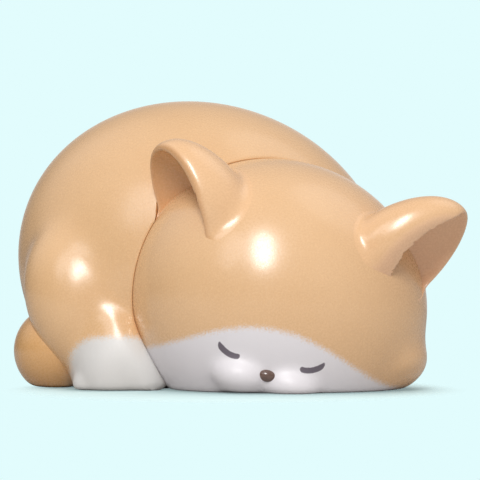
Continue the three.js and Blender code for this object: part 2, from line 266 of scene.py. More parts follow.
@dataclass(frozen=True)
class Drape:
    """How a skin is laid over a form that stands on the ground: a revolved drum with a dome.

    Below the waist each vertex slides straight out from the axis at its own height, above it away from the waist's
    centre. Columns gather round the facing angle, and towards the ends of a form that is longer along y; rows gather
    towards the ground.
    """

    axis: np.ndarray
    waist: float
    columns: int
    low_rows: int
    dome_rows: int
    floor: float = 0.0
    facing: float = 0.0
    gather: float = 0.0
    longways: float = 1.0
    low_gather: float = 1.6

    def drum(self) -> bmesh.types.BMesh:
        """The revolved drum and dome, of radius one."""
        rise = self.waist - self.floor
        outline = [(0.0, self.floor)]
        outline += [
            (1.0, self.floor + rise * (row / self.low_rows) ** self.low_gather) for row in range(self.low_rows)
        ]
        for row in range(self.dome_rows + 1):
            angle = math.pi / 2 * row / self.dome_rows
            outline.append((math.cos(angle) if row < self.dome_rows else 0.0, self.waist + math.sin(angle)))
        shape = bmesh.new()
        vertices = [shape.verts.new((radius, 0.0, height)) for radius, height in outline]
        edges = [shape.edges.new(pair) for pair in zip(vertices, vertices[1:])]
        bmesh.ops.spin(
            shape, geom=vertices + edges, cent=(0, 0, 0), axis=(0, 0, 1), dvec=(0, 0, 0),
            angle=2 * math.pi, steps=self.columns, use_merge=True, use_duplicate=False,
        )
        bmesh.ops.remove_doubles(shape, verts=shape.verts, dist=1e-5)
        return shape

    def over(self, form: Form, name: str) -> bpy.types.Object:
        """Lays the skin over a form.

        Args:
            form: The form to cover.
            name: The new object's name.

        Returns:
            The skin, closed underneath by the ground.
        """
        shape = self.drum()
        base = coordinates(shape)
        flat = np.hypot(base[:, 0], base[:, 1])
        angle = np.arctan2(base[:, 1], base[:, 0]) - math.radians(self.facing)
        eased = angle - self.gather * np.sin(angle) + math.radians(self.facing)
        level = np.minimum(base[:, 2], self.waist)
        starts = np.column_stack([np.full(len(base), self.axis[0]), np.full(len(base), self.axis[1]), level])
        ways = np.column_stack([flat * np.cos(eased), flat * np.sin(eased) * self.longways, base[:, 2] - level])
        length = np.linalg.norm(ways, axis=1)
        moving = length > 1e-6
        ways[moving] /= length[moving, None]
        places = starts.copy()
        span = reach(form, starts[moving], ways[moving])
        places[moving] += ways[moving] * span[:, None]
        return into_object(shape, places, name)


def wrap(form: Form, centre: np.ndarray, along: np.ndarray, columns: int, name: str) -> bpy.types.Object:
    """Skin of a round form seen from a point inside it.

    Args:
        form: The form to cover.
        centre: The point inside it.
        along: Direction of the ball's poles.
        columns: Facets round it.
        name: The new object's name.

    Returns:
        The closed skin.
    """
    shape = bmesh.new()
    bmesh.ops.create_uvsphere(shape, u_segments=columns, v_segments=columns * 2 // 3, radius=1)
    stand = np.array(Vector(along).to_track_quat("Z", "Y").to_matrix())
    ways = coordinates(shape) @ stand.T
    ways /= np.linalg.norm(ways, axis=1)[:, None]
    span = reach(form, np.tile(centre, (len(ways), 1)), ways, NEARBY_SKIN)
    return into_object(shape, centre + ways * span[:, None], name)


def rod(radius: float, foot: np.ndarray, height: float, name: str) -> bpy.types.Object:
    """Upright round rod.

    Args:
        radius: Its radius.
        foot: Middle of its lower end.
        height: Its height.
        name: The new object's name.

    Returns:
        The closed rod.
    """
    shape = bmesh.new()
    bmesh.ops.create_cone(
        shape, cap_ends=True, segments=96, radius1=radius, radius2=radius, depth=height,
        matrix=Matrix.Translation(Vector(foot) + Vector((0, 0, height / 2))),
    )
    return into_object(shape, coordinates(shape), name)


def bake_modifiers(piece: bpy.types.Object) -> None:
    """Applies a piece's modifiers to its mesh."""
    bpy.context.view_layer.update()
    graph = bpy.context.evaluated_depsgraph_get()
    finished = bpy.data.meshes.new_from_object(piece.evaluated_get(graph))
    worn = piece.data
    piece.modifiers.clear()
    piece.data = finished
    bpy.data.meshes.remove(worn)


def cut(piece: bpy.types.Object, *tools: bpy.types.Object) -> None:
    """Takes the room of each tool out of a piece and removes the tools.

    Args:
        piece: What is cut.
        tools: Closed objects that are taken out of it.
    """
    for tool in tools:
        knife = piece.modifiers.new("cut", "BOOLEAN")
        knife.operation = "DIFFERENCE"
        knife.solver = "EXACT"
        knife.object = tool
        bake_modifiers(piece)
        spent = tool.data
        bpy.data.objects.remove(tool)
        bpy.data.meshes.remove(spent)


def drop_strays(piece: bpy.types.Object) -> None:
    """Drops what a cut leaves beside a closed skin: slivers on an edge, doubled faces and loose crumbs.

    Args:
        piece: The cut piece.
    """
    with edited(piece) as shape:
        bmesh.ops.triangulate(shape, faces=shape.faces)
        bmesh.ops.remove_doubles(shape, verts=shape.verts, dist=WELD)
        for _ in range(3):
            corners = Counter(frozenset(face.verts) for face in shape.faces)
            strays = [
                face for face in shape.faces
                if corners[frozenset(face.verts)] > 1 or any(side.is_boundary for side in face.edges)
            ]
            bmesh.ops.delete(shape, geom=strays, context="FACES")
        left, islands = set(shape.faces), []
        while left:
            island, waiting = set(), [left.pop()]
            while waiting:
                face = waiting.pop()
                island.add(face)
                beside = {other for side in face.edges for other in side.link_faces} & left
                left -= beside
                waiting.extend(beside)
            islands.append(island)
        crumbs = [face for island in sorted(islands, key=len)[:-1] for face in island]
        bmesh.ops.delete(shape, geom=crumbs, context="FACES")


def settle(piece: bpy.types.Object, form: Form, rounds: int, chosen: Optional[np.ndarray] = None) -> None:
    """Moves a mesh's vertices the short way onto a form's skin.

    Args:
        piece: The piece, already close to the skin.
        form: The form.
        rounds: How many times each vertex is moved.
        chosen: Which vertices move, where not all of them do.
    """
    every = coordinates(piece.data)
    chosen = np.ones(len(every), bool) if chosen is None else chosen
    places = every[chosen]
    for _ in range(rounds):
        here = form(places)
        slope = np.column_stack([form(places + step) - here for step in np.eye(3) * SLOPE_SPAN]) / SLOPE_SPAN
        steep = np.maximum(np.linalg.norm(slope, axis=1), LEAST_SLOPE)
        move = np.clip(here / steep, -LONGEST_MOVE, LONGEST_MOVE)
        places -= slope / steep[:, None] * move[:, None]
    every[chosen] = places
    piece.data.vertices.foreach_set("co", every.ravel())
    piece.data.update()


def even_out(piece: bpy.types.Object, factor: float, chosen: Optional[np.ndarray] = None) -> None:
    """Evens out the spacing of a mesh's vertices by one pass of smoothing.

    Args:
        piece: The piece.
        factor: How far each vertex goes to the middle of its neighbours.
        chosen: Which vertices move, where not all of them do.
    """
    with edited(piece) as shape:
        vertices = [vertex for vertex in shape.verts if chosen is None or chosen[vertex.index]]
        bmesh.ops.smooth_vert(
            shape, verts=vertices, factor=factor, use_axis_x=True, use_axis_y=True, use_axis_z=True
        )


@dataclass(frozen=True)
class SoftSeam:
    """The rounded edge of a cut, which reads as a soft groove; its lengths are in millimetres.

    It spares the ground and the neighbourhood of one form, and fades out towards the ground.
    """

    form: Form
    room: Form
    edge: float
    spared: Form
    spared_by: float = 0.6
    above_ground: float = 0.4
    fade: float = 3.0
    longest_side: float = 0.45

    def beside(self, places: np.ndarray, width: float) -> np.ndarray:
        """Which places lie within a width of the edge and aren't spared.

        Args:
            places: Rows of x, y, z.
            width: The width.

        Returns:
            One truth value a row.
        """
        close = (np.abs(self.form(places)) < width) & (np.abs(self.room(places)) < width)
        return close & (places[:, 2] > self.above_ground) & (self.spared(places) > self.spared_by)

    def rounded(self, points: np.ndarray) -> np.ndarray:
        """The form with the room taken out of it and its edge rounded."""
        width = np.clip((points[:, 2] - self.above_ground) / self.fade, 0.05, 1.0) * self.edge
        return -soften(-self.form(points), self.room(points), width)

    def refine(self, piece: bpy.types.Object, width: float) -> None:
        """Halves the long sides of the facets within a width of the edge."""
        with edited(piece) as shape:
            bmesh.ops.triangulate(shape, faces=shape.faces)
            close = self.beside(coordinates(shape), width)
            long_sides = [
                side for side in shape.edges
                if side.calc_length() > self.longest_side and all(close[corner.index] for corner in side.verts)
            ]
            bmesh.ops.subdivide_edges(shape, edges=long_sides, cuts=1)
            bmesh.ops.triangulate(shape, faces=shape.faces)

    def press(self, piece: bpy.types.Object) -> None:
        """Rounds the edge that a cut left in a piece."""
        for width in (self.edge + 0.8, self.edge):
            self.refine(piece, width)
        chosen = self.beside(coordinates(piece.data), self.edge + 0.6)
        for _ in range(4):
            settle(piece, self.rounded, 2, chosen)
            even_out(piece, 0.4, chosen)
        settle(piece, self.rounded, 4, chosen)


def write_share(piece: bpy.types.Object, name: str, values: np.ndarray) -> None:
    """Keeps one number a vertex on a mesh, for its material to read.

    Args:
        piece: The piece.
        name: The attribute's name.
        values: One number a vertex.
    """
    attribute = piece.data.attributes.new(name, "FLOAT", "POINT")
    attribute.data.foreach_set("value", values.astype(np.float32))


class Bench:
    """Where the figurine stands: turns places measured from the body's middle into the model's frame."""

    PLUG_PLACE = np.array([-10.75, 6.0])

    def __init__(self) -> None:
        """Finds the body's middle from the plug under it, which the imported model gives."""
        low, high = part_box("base_plug")
        middle = (np.array(low) + np.array(high))[:2] / 2 / MILLIMETRE - self.PLUG_PLACE
        self.middle = np.array([middle[0], middle[1], 0.0])

    def metres(self, place: np.ndarray) -> np.ndarray:
        """A place in millimetres from the body's middle, in metres in the model's frame."""
        return (np.array(place, float) + self.middle) * MILLIMETRE

    def deliver(
        self, piece: bpy.types.Object, material: bpy.types.Material, slot: str, *nodes: str
    ) -> bpy.types.Object:
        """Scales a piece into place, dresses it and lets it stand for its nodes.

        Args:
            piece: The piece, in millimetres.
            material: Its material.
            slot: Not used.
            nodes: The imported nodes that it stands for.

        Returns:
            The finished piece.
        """
        mesh = piece.data
        mesh.transform(Matrix.Scale(MILLIMETRE, 4) @ Matrix.Translation(Vector(self.middle)))
        mesh.polygons.foreach_set("use_smooth", np.ones(len(mesh.polygons), bool))
        mesh.set_sharp_from_angle(angle=math.radians(SHARP_DEGREES))
        mesh.materials.clear()
        mesh.materials.append(material)
        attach(piece, "root")
        if nodes:
            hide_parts(*nodes)
        LOG.info("%s: %d faces", piece.name, len(mesh.polygons))
        return piece


# Shader tools


def shown(red: int, green: int, blue: int) -> Colour:
    """A colour as it shows on a screen, from 0 to 255, for a shader's socket.

    Args:
        red: Red share.
        green: Green share.
        blue: Blue share.

    Returns:
        Linear red, green, blue and a full alpha.
    """
    shares = [value / 255 for value in (red, green, blue)]
    linear = [share / 12.92 if share <= 0.04045 else ((share + 0.055) / 1.055) ** 2.4 for share in shares]
    return (linear[0], linear[1], linear[2], 1.0)


class Wire:
    """A socket that takes part in arithmetic, each step of which adds a node."""

    def __init__(self, sheet: "NodeSheet", socket: bpy.types.NodeSocket) -> None:
        """Wraps a socket of a sheet."""
        self.sheet = sheet
        self.socket = socket


class Signal(Wire):
    """A value; its steps are Math nodes."""

    def step(self, operation: str, *others: Union["Signal", float]) -> "Signal":
        """Adds one Math node.

        Args:
            operation: The node's operation.
            others: The values after this one.

        Returns:
            The node's value.
        """
        values = dict(enumerate((self, *others)))
        node = self.sheet.node("ShaderNodeMath", {"operation": operation}, values)
        return Signal(self.sheet, node.outputs[0])

    def __add__(self, other: Union["Signal", float]) -> "Signal":
        """Sum."""
        return self.step("ADD", other)

    __radd__ = __add__

    def __sub__(self, other: Union["Signal", float]) -> "Signal":
        """Difference."""
        return self.step("SUBTRACT", other)

    def __rsub__(self, other: float) -> "Signal":
        """Difference from a number."""
        return (self * -1.0) + other

    def __mul__(self, other: Union["Signal", float]) -> "Signal":
        """Product."""
        return self.step("MULTIPLY", other)

    __rmul__ = __mul__

    def __truediv__(self, other: Union["Signal", float]) -> "Signal":
        """Quotient."""
        return self.step("DIVIDE", other)

    def __abs__(self) -> "Signal":
        """Size without sign."""
        return self.step("ABSOLUTE")

    def at_least(self, floor: float) -> "Signal":
        """The value, but never below a floor."""
        return self.step("MAXIMUM", floor)

    def root(self) -> "Signal":
        """Square root."""
        return self.step("SQRT")

    def ramp(self, low: float, high: float) -> "Signal":
        """Smooth rise from 0 at low to 1 at high, or the fall where low is the larger.

        Args:
            low: Where the result is 0.
            high: Where the result is 1.

        Returns:
            The smoothed share.
        """
        ends = (0.0, 1.0) if low < high else (1.0, 0.0)
        settings = {"interpolation_type": "SMOOTHSTEP", "clamp": True}
        inputs = {0: self, 1: min(low, high), 2: max(low, high), 3: ends[0], 4: ends[1]}
        return Signal(self.sheet, self.sheet.node("ShaderNodeMapRange", settings, inputs).outputs[0])


class Place(Wire):
    """A vector; its steps are Vector Math nodes."""

    def __sub__(self, point: np.ndarray) -> "Place":
        """The place seen from a point."""
        values = {0: self, 1: tuple(point)}
        node = self.sheet.node("ShaderNodeVectorMath", {"operation": "SUBTRACT"}, values)
        return Place(self.sheet, node.outputs[0])

    def along(self, direction: np.ndarray) -> Signal:
        """How far the place lies along a direction."""
        values = {0: self, 1: tuple(direction)}
        node = self.sheet.node("ShaderNodeVectorMath", {"operation": "DOT_PRODUCT"}, values)
        return Signal(self.sheet, node.outputs["Value"])


class NodeSheet:
    """The node tree of one material, world or floor."""

    def __init__(self, tree: bpy.types.NodeTree) -> None:
        """Empties the tree."""
        self.tree = tree
        tree.nodes.clear()

    def node(
        self, kind: str, settings: Optional[dict[str, Any]] = None, inputs: Optional[dict[Any, Any]] = None
    ) -> bpy.types.Node:
        """Adds a node.

        Args:
            kind: The node's type.
            settings: Its own settings, which are set first.
            inputs: Values or links of its sockets, by name or number.

        Returns:
            The node.
        """
        made = self.tree.nodes.new(kind)
        for name, value in (settings or {}).items():
            setattr(made, name, value)
        for key, value in (inputs or {}).items():
            if isinstance(value, Wire):
                self.tree.links.new(value.socket, made.inputs[key])
            elif isinstance(value, bpy.types.NodeSocket):
                self.tree.links.new(value, made.inputs[key])
            else:
                made.inputs[key].default_value = value
        return made

    def place(self) -> Place:
        """Where the surface is, in metres in the model's frame."""
        return Place(self, self.node("ShaderNodeTexCoord").outputs["Object"])

    def noise(self, place: Place, grain: float, detail: float = 2.0) -> Signal:
        """Cloudy variation round zero.

        Args:
            place: Where the surface is.
            grain: Size of a cloud in millimetres.
            detail: How many finer layers it has.

        Returns:
            About -0.5 to 0.5.
        """
        inputs = {"Vector": place, "Scale": 1 / (grain * MILLIMETRE), "Detail": detail, "Roughness": 0.55}
        return Signal(self, self.node("ShaderNodeTexNoise", {}, inputs).outputs[0]) - 0.5

    def share(self, name: str) -> Signal:
        """A number that the mesh keeps for each vertex."""
        return Signal(self, self.node("ShaderNodeAttribute", {"attribute_name": name}).outputs["Fac"])

    def mixed(self, under: Any, over: Any, factor: Union[Signal, float], kind: str = "MIX") -> bpy.types.NodeSocket:
        """One colour laid over another.

        Args:
            under: Colour or socket below.
            over: Colour or socket above.
            factor: How much the upper one covers.
            kind: How they mix.

        Returns:
            The mixed colour.
        """
        settings = {"data_type": "RGBA", "blend_type": kind}
        return self.node("ShaderNodeMix", settings, {0: factor, 6: under, 7: over}).outputs[2]


# Finishes


@dataclass(frozen=True)
class SprayedVinyl:
    """Soft vinyl under sprayed colour and a gloss coat, with the fine orange peel of the spray.

    Clouds and grain drift from the colour to the deep one; their sizes are in millimetres.
    """

    name: str
    colour: Colour
    deep: Colour
    roughness: float = 0.27
    gloss: float = 0.25
    peel: float = 0.045
    mirror: float = 1.6
    cloud: float = 16.0
    grain: float = 0.45
    coat_roughness: float = 0.16
    matt_roughness: float = 0.2

    def start(self) -> "Coating":
        """Begins a material with the sprayed colour."""
        return Coating(self)


class Coating:
    """A finish on its way to becoming a material: its colour so far, under any paint that is laid on it."""

    def __init__(self, finish: SprayedVinyl) -> None:
        """Starts with the finish's own colour, a little uneven."""
        self.finish = finish
        self.material = bpy.data.materials.new(f"{finish.name}_sprayed")
        self.material.use_nodes = True
        self.sheet = NodeSheet(self.material.node_tree)
        self.place = self.sheet.place()
        cloud = self.sheet.noise(self.place, finish.cloud, 3.0)
        grain = self.sheet.noise(self.place, finish.grain, 1.0)
        drift = (cloud * 0.9 + grain * 0.28 + 0.42).ramp(0.0, 1.0)
        self.colour = self.sheet.mixed(finish.colour, finish.deep, drift)
        self.matt: Union[Signal, float] = 0.0

    def lay(self, paint: Colour, cover: Signal, matt: bool = False) -> None:
        """Lays paint over the colour so far.

        Args:
            paint: The paint's colour.
            cover: Share of each place that it covers.
            matt: Whether the paint takes the gloss away.
        """
        self.colour = self.sheet.mixed(self.colour, paint, cover)
        if matt:
            self.matt = cover + self.matt

    def done(self) -> bpy.types.Material:
        """Adds gloss and grain and gives the material."""
        sheet, place, finish = self.sheet, self.place, self.finish
        fine, broad = sheet.noise(place, 0.4, 2.0), sheet.noise(place, 9.0, 2.0)
        roughness = fine * 0.22 + broad * 0.08 + finish.roughness
        gloss: Union[Signal, float] = finish.gloss
        if isinstance(self.matt, Signal):
            roughness = roughness + self.matt * finish.matt_roughness
            gloss = (1.0 - self.matt) * finish.gloss
        height = sheet.noise(place, 0.5, 2.0) + sheet.noise(place, 2.6, 1.0) * 1.2
        pressed = {"Strength": finish.peel, "Distance": 0.2 * MILLIMETRE, "Height": height}
        bump = sheet.node("ShaderNodeBump", {}, pressed)
        shader = sheet.node("ShaderNodeBsdfPrincipled", {}, {
            "Base Color": self.colour, "Roughness": roughness, "Normal": bump.outputs[0],
            "Coat Weight": gloss, "Coat Roughness": finish.coat_roughness, "IOR": finish.mirror,
        })
        sheet.node("ShaderNodeOutputMaterial", {}, {"Surface": shader.outputs[0]})
        return self.material


WHITE_PAINT = shown(229, 225, 228)
SOCK_PAINT = shown(216, 214, 211)
LINE_PAINT = shown(104, 96, 106)
BODY_VINYL = SprayedVinyl("body_vinyl", shown(227, 186, 140), shown(219, 176, 128))
HEAD_VINYL = SprayedVinyl("head_vinyl", shown(229, 188, 143), shown(221, 178, 131))
EAR_VINYL = SprayedVinyl("ear_vinyl", shown(234, 191, 146), shown(226, 181, 134))
TAIL_VINYL = SprayedVinyl("tail_vinyl", shown(219, 172, 117), shown(210, 160, 104))
NOSE_GLOSS = SprayedVinyl("nose_gloss", shown(108, 84, 74), shown(94, 72, 63), roughness=0.2, peel=0.05)
PLUG_VINYL = SprayedVinyl("plug_vinyl", shown(217, 180, 138), shown(206, 168, 126), roughness=0.5, gloss=0.1)


@dataclass(frozen=True)
class SprayEdge:
    """The speckled edge of sprayed white paint."""

    soft: float = 0.75
    speck: float = 0.24
    scatter: float = 2.2
    wave: float = 2.5
    sway: float = 0.5

    def cover(self, coating: Coating, inside: Signal) -> Signal:
        """How much paint covers a place.

        Args:
            coating: What the paint is laid on.
            inside: Millimetres inside the paint's outline.

        Returns:
            Share of cover.
        """
        sheet, place = coating.sheet, coating.place
        ragged = inside + sheet.noise(place, self.speck, 1.0) * self.scatter
        return (ragged + sheet.noise(place, self.wave) * self.sway).ramp(-self.soft, self.soft)


@dataclass(frozen=True)
class Sock:
    """The white paint of the paw: a rounded square seen from the front, in millimetres from the body's middle."""

    middle: tuple[float, float, float] = (-15.6, 0.0, 1.2)
    half_width: float = 9.2
    half_height: float = 8.7
    squareness: float = 3.2
    hindmost: float = -13.0

    def inside(self, coating: Coating, bench: Bench) -> Signal:
        """How far a place lies inside the paint.

        Args:
            coating: What the paint is laid on.
            bench: Where the figurine stands.

        Returns:
            Millimetres inside the paint's outline.
        """
        from_paw = coating.place - bench.metres(np.array(self.middle))
        across = abs(from_paw.along(RIGHT / MILLIMETRE)) / self.half_width
        upward = abs(from_paw.along(UP / MILLIMETRE)) / self.half_height
        ring = across.step("POWER", self.squareness) + upward.step("POWER", self.squareness)
        behind = from_paw.along(AWAY / MILLIMETRE) - self.hindmost
        return (1.0 - ring.step("POWER", 1 / self.squareness)) * self.half_height - behind.at_least(0.0)


@dataclass(frozen=True)
class ClosedEyes:
    """The two painted lines of the closed eyes, bowed downward, in millimetres from the face's middle."""

    lowest: float = 6.25
    drop: float = 11.17
    bow: float = 0.143
    middle: float = 7.5
    half_length: float = 1.65
    taper: float = 0.015
    ragged: float = 0.12

    def stroke(self, coating: Coating, across: Signal, upward: Signal) -> Signal:
        """How far a place lies from the middle of the brush's stroke.

        Args:
            coating: What the paint is laid on.
            across: Millimetres across from the face's middle.
            upward: Millimetres up the face.

        Returns:
            Millimetres from the stroke's middle.
        """
        along_lid = abs(across)
        lean = (along_lid - self.lowest) * (2 * self.bow)
        bowed = (along_lid - self.lowest) * (along_lid - self.lowest) * self.bow
        gap = (upward + self.drop - bowed) / (lean * lean + 1.0).root()
        from_middle = along_lid - self.middle
        past_end = (abs(from_middle) - self.half_length).at_least(0.0)
        stroke = (gap * gap + past_end * past_end).root() + from_middle * from_middle * self.taper
        return stroke + coating.sheet.noise(coating.place, 0.3, 1.0) * self.ragged


# Pieces


@dataclass(frozen=True)
class LegLump:
    """One egg of the hind leg: its size, its place from the body's left end and front, its pitch and dip."""

    size: tuple[float, float, float]
    place: tuple[float, float, float]
    turn: tuple[float, float] = (0.0, 0.0)


HAUNCH = LegLump((19.0, 17.6, 28.5), (13.4, 11.9, 15.6), (-2.5, -20.5))
SHIN = LegLump((11.4, 13.4, 29.0), (21.45, 7.8, 9.6), (-22.0, -31.0))
PAW = LegLump((15.2, 20.4, 20.8), (19.7, 9.9, 3.5), (0.0, -10.4))
TOE = LegLump((6.2, 5.6, 6.2), (15.9, 4.8, 1.3))


@dataclass
class Body:
    """Curled body with its hind leg, the seat of the head and the recess of the plug."""

    size: tuple[float, float, float] = (73.5, 56.0, 64.2)
    dip: float = 20.3
    centre_height: float = 22.4
    ankle_blend: float = 4.7
    toe_blend: float = 0.9
    haunch_blend: float = 6.5
    foot_blend: float = 2.8
    seam_edge: float = 1.0
    recess_radius: float = 7.35
    recess_depth: float = 3.4
    columns: int = 320
    sock: Sock = field(default_factory=Sock)

    @property
    def centre(self) -> np.ndarray:
        """Middle of the body."""
        return np.array([0.0, 0.0, self.centre_height])

    def at(self, in_left: float, in_front: float, height: float) -> np.ndarray:
        """A place measured in from the body's left end and from its front."""
        return np.array([in_left - self.size[0] / 2, in_front - self.size[1] / 2, height])

    def form(self) -> Form:
        """The egg of the body with haunch, shin, paw and toe."""
        egg = Egg(self.size, self.centre, turned(0, self.dip))
        haunch, shin, paw, toe = (
            Egg(lump.size, self.at(*lump.place), turned(*lump.turn)) for lump in (HAUNCH, SHIN, PAW, TOE)
        )
        foot = blend(blend(shin, paw, self.ankle_blend), toe, self.toe_blend)
        return on_ground(blend(blend(egg, haunch, self.haunch_blend), foot, self.foot_blend))

    def drape(self, amount: float, columns: int) -> Drape:
        """How the body's skin is laid, for a skin grown by an amount."""
        return Drape(
            self.centre, self.centre_height * 0.6, columns, columns // 11, columns // 4,
            floor=-amount, facing=-130, gather=0.45,
        )

    def build(self, bench: Bench, head: "Head", ears: list["Ear"]) -> bpy.types.Object:
        """Makes the body, seated round the head, the left ear and the plug.

        Args:
            bench: Where the figurine stands.
            head: The head that nests in it.
            ears: The ears, which are kept clear.

        Returns:
            The finished piece.
        """
        piece = self.drape(0.0, self.columns).over(self.form(), "body")
        for _ in range(6):
            even_out(piece, 0.5)
            settle(piece, self.form(), 2)
        seated = grown(head.form(), SEAT_GAP)
        seat = head.drape(SEAT_GAP, 160).over(seated, "seat")
        recess = rod(self.recess_radius, self.at(26.0, 34.0, -1.0), 1.0 + self.recess_depth, "recess")
        reliefs = [ear.lump(SEAT_GAP, 64) for ear in ears if ear.side is Side.LEFT]
        cut(piece, seat, recess, *reliefs)
        SoftSeam(self.form(), seated, self.seam_edge, ears[0].cone()).press(piece)
        drop_strays(piece)
        coating = BODY_VINYL.start()
        coating.lay(SOCK_PAINT, SprayEdge().cover(coating, self.sock.inside(coating, bench)), matt=True)
        return bench.deliver(piece, coating.done(), "body_vinyl", "body_shell")


# Upper edge of the face's white, in millimetres up from the head's middle for those across; highest power first
FACE_EDGE = (1.6845e-5, 5.708e-5, -0.022624, 0.021256, -5.177)


@dataclass
class Head:
    """Head laid on the ground: skull, pressed cheek and the two bumps of the muzzle."""

    size: tuple[float, float, float] = (56.0, 50.0, 52.0)
    centre: np.ndarray = field(default_factory=lambda: np.array([13.9, -19.0, 16.5]))
    dip: float = 24.4
    roll: float = 11.5
    columns: int = 320
    face_offset: float = 0.4
    cheek_size: tuple[float, float, float] = (12.6, 24.0, 9.6)
    cheek_in_right: float = 7.0
    cheek_height: float = 5.4
    cheek_blend: float = 5.0
    bump_size: tuple[float, float, float] = (10.4, 10.6, 7.0)
    bump_spread: float = 4.5
    bump_drop: float = 14.3
    bump_sunk: float = 2.3
    cleft_blend: float = 1.6
    muzzle_blend: float = 2.6
    eyes: ClosedEyes = field(default_factory=ClosedEyes)

    @property
    def right(self) -> np.ndarray:
        """Direction across the rolled face."""
        return turned(0, self.roll)[:, 0]

    @property
    def up(self) -> np.ndarray:
        """Direction up the rolled face."""
        return turned(0, self.roll)[:, 2]

    def skull(self) -> Egg:
        """The bare ball of the head."""
        return Egg(self.size, self.centre, turned(0, self.dip))

    def on_face(self, form: Form, right: float, up: float) -> np.ndarray:
        """A place on a form's skin, ahead of a place in the face's own frame."""
        start = self.centre + self.right * right + self.up * up
        return start + TOWARD_VIEWER * reach(form, start[None, :], TOWARD_VIEWER[None, :], NEARBY_SKIN)[0]

    def form(self) -> Form:
        """Skull, cheek and muzzle as one."""
        in_right = self.centre[0] + self.size[0] / 2 - self.cheek_in_right
        cheek = Egg(self.cheek_size, np.array([in_right, self.centre[1], self.cheek_height]))
        bumps = []
        for side in Side:
            tip = self.on_face(self.skull(), self.face_offset + side.value * self.bump_spread, -self.bump_drop)
            bumps.append(Egg(self.bump_size, tip - TOWARD_VIEWER * self.bump_sunk, turned(0, self.roll)))
        muzzle = blend(bumps[0], bumps[1], self.cleft_blend)
        return on_ground(blend(blend(self.skull(), cheek, self.cheek_blend), muzzle, self.muzzle_blend))

    def drape(self, amount: float, columns: int) -> Drape:
        """How the head's skin is laid, for a skin grown by an amount."""
        return Drape(
            self.centre, float(self.centre[2]), columns, columns // 6, columns // 4,
            floor=-amount, facing=-90, gather=0.45,
        )

    def paint(self, bench: Bench) -> bpy.types.Material:
        """Sprayed vinyl with the white of the face and the painted closed eyes.

        Args:
            bench: Where the figurine stands.

        Returns:
            The material.
        """
        coating = HEAD_VINYL.start()
        from_centre = coating.place - bench.metres(self.centre)
        across = from_centre.along(self.right / MILLIMETRE)
        upward = from_centre.along(self.up / MILLIMETRE)
        front = from_centre.along(TOWARD_VIEWER / MILLIMETRE)
        edge = across * FACE_EDGE[0]
        for factor in FACE_EDGE[1:-1]:
            edge = (edge + factor) * across
        inside = edge + FACE_EDGE[-1] - upward - (-1.0 * front + 2.0).at_least(0.0)
        coating.lay(WHITE_PAINT, SprayEdge().cover(coating, inside), matt=True)
        stroke = self.eyes.stroke(coating, across - self.face_offset, upward)
        coating.lay(LINE_PAINT, stroke.ramp(0.6, 0.45) * front.ramp(6.0, 8.0))
        return coating.done()

    def build(self, bench: Bench) -> bpy.types.Object:
        """Makes the head.

        Args:
            bench: Where the figurine stands.

        Returns:
            The finished piece.
        """
        piece = self.drape(0.0, self.columns).over(self.form(), "head")
        return bench.deliver(piece, self.paint(bench), "head_vinyl", "head_shell")


@dataclass(frozen=True)
class EarShape:
    """Sizes of one ear, in millimetres and degrees, and the colour laid into its cup, which is painted shade in the
    left cup and painted light in the right.
    """

    in_side: float
    below_top: float
    behind_front: float
    size: tuple[float, float, float]
    splay: float
    lean: float
    turn: float
    mouth_out: float
    mouth_lean: float
    mouth_twist: float
    cup_shift: tuple[float, float, float]
    wall: float
    fillet: float
    rim: float
    # Colour laid into the cup: painted shade where it is darker than the ear, painted light where it is paler
    cup: Colour


# The cup colours stand in for light: a darker brown as painted shade deep in the left cup, a colour paler than the
# ear as painted light in the right cup
EAR_SHAPES = {
    Side.LEFT: EarShape(
        in_side=10.5, below_top=13.8, behind_front=13.8, size=(31.8, 17.3, 19.4), splay=44.0, lean=9.3, turn=55.3,
        mouth_out=6.0, mouth_lean=19.2, mouth_twist=-0.8, cup_shift=(1.9, 3.4, 1.0), wall=1.9, fillet=2.2, rim=1.2,
        cup=shown(216, 166, 118),
    ),
    Side.RIGHT: EarShape(
        in_side=11.05, below_top=14.35, behind_front=13.4, size=(31.5, 14.2, 19.6), splay=45.6, lean=10.0, turn=39.0,
        mouth_out=5.3, mouth_lean=11.0, mouth_twist=2.5, cup_shift=(2.9, 1.6, 2.0), wall=2.5, fillet=1.8, rim=1.3,
        cup=shown(240, 194, 154),
    ),
}


